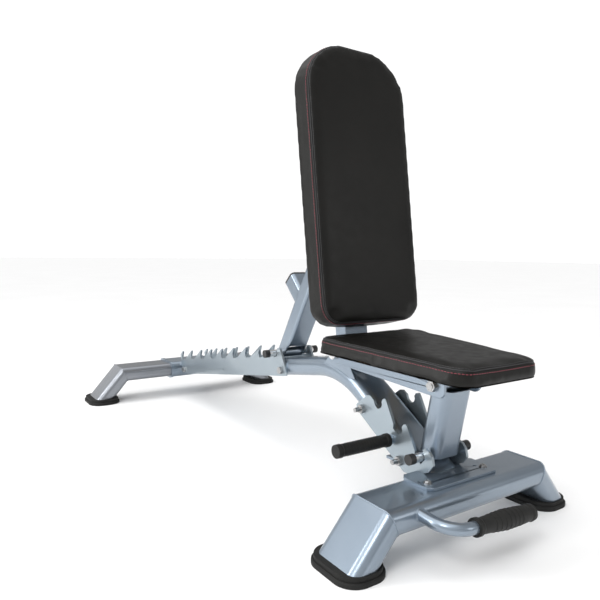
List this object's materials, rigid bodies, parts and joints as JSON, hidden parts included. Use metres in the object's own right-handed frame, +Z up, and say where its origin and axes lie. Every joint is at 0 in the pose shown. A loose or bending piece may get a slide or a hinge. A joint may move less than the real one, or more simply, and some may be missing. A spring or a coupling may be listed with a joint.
{
  "type": "adjustable_weight_bench",
  "caption": "Adjustable weight bench: silver-grey tube frame on two T feet, hinged padded seat and backrest held by pins in notched side plates, two rubber grips.",
  "frame": {"origin": "Middle of the floor area under the whole bench, on the floor", "axes": "+Z up, +Y from the seat towards the rear foot (the bench faces -Y), +X to the right of a person who stands in front of the bench and faces it"},
  "size_m": [0.7294, 1.5239, 0.9769],
  "materials": {
    "frame_paint": "gloss",
    "vinyl": "satin",
    "rubber_feet": "matte",
    "rubber_grip": "matte",
    "plywood": "matte",
    "plastic_caps": "matte",
    "nylon_bush": "matte",
    "chrome_pin": "polished",
    "zinc_fasteners": "satin"
  },
  "bodies": {
    "frame": {"axle_lug_left": "frame_paint", "axle_lug_right": "frame_paint", "back_rack_bolts": "zinc_fasteners", "back_rack_left": "frame_paint", "back_rack_right": "frame_paint", "base_plate": "frame_paint", "base_plate_bolts": "zinc_fasteners", "front_crossbar": "frame_paint", "front_foot_left": "rubber_feet", "front_foot_right": "rubber_feet", "front_handle_grip": "rubber_grip", "front_handle_tube": "frame_paint", "front_leg_left": "frame_paint", "front_leg_right": "frame_paint", "main_axle": "chrome_pin", "rear_crossbar": "frame_paint", "rear_foot_left": "rubber_feet", "rear_foot_right": "rubber_feet", "rear_leg_left": "frame_paint", "rear_leg_right": "frame_paint", "rear_sleeve": "frame_paint", "rear_sleeve_screws": "zinc_fasteners", "seat_ladder_bolts": "zinc_fasteners", "seat_ladder_left": "frame_paint", "seat_ladder_right": "frame_paint", "side_grip": "rubber_grip", "side_grip_stub": "frame_paint", "spine_tube": "frame_paint"},
    "seat": {"seat_arm_bushes": "nylon_bush", "seat_arm_left": "frame_paint", "seat_arm_right": "frame_paint", "seat_board": "plywood", "seat_pad": "vinyl", "seat_plates": "frame_paint", "seat_post_bolt": "zinc_fasteners", "seat_screws": "zinc_fasteners"},
    "seat_post": {"seat_post_bushes": "nylon_bush", "seat_post_head": "frame_paint", "seat_post_pin": "chrome_pin", "seat_post_pin_caps": "plastic_caps", "seat_post_pin_sleeve": "frame_paint", "seat_post_spacers": "zinc_fasteners", "seat_post_tube": "frame_paint"},
    "backrest": {"back_board": "plywood", "back_channel": "frame_paint", "back_pad": "vinyl", "back_pivot_bushes": "nylon_bush", "back_pivot_sleeve": "frame_paint", "back_plate_lower": "frame_paint", "back_plate_upper": "frame_paint", "back_screws": "zinc_fasteners", "prop_bolt": "zinc_fasteners"},
    "prop": {"prop_bushes": "nylon_bush", "prop_handle": "frame_paint", "prop_handle_cap": "plastic_caps", "prop_head": "frame_paint", "prop_pin": "chrome_pin", "prop_pin_caps": "plastic_caps", "prop_pin_sleeve": "frame_paint", "prop_tube": "frame_paint"}
  },
  "joints": [
    {"name": "seat_lift", "type": "hinge", "parent": "frame", "child": "seat", "pos_m": [0, -0.30595, 0.3], "axis": [-1, 0, 0], "range_deg": [0, 14]},
    {"name": "seat_post_swing", "type": "hinge", "parent": "seat", "child": "seat_post", "pos_m": [0, -0.60465, 0.285], "axis": [1, 0, 0], "range_deg": [0, 28.5]},
    {"name": "back_recline", "type": "hinge", "parent": "frame", "child": "backrest", "pos_m": [0, -0.30595, 0.3], "axis": [-1, 0, 0], "range_deg": [0, 81.5]},
    {"name": "prop_swing", "type": "hinge", "parent": "backrest", "child": "prop", "pos_m": [0, -0.25688, 0.62835], "axis": [1, 0, 0], "range_deg": [0, 124.5]}
  ],
  "couplings": [
    {"joint": "seat_post_swing", "follows": "seat_lift", "ratio": 2},
    {"joint": "prop_swing", "follows": "back_recline", "ratio": 1.5255}
  ]
}
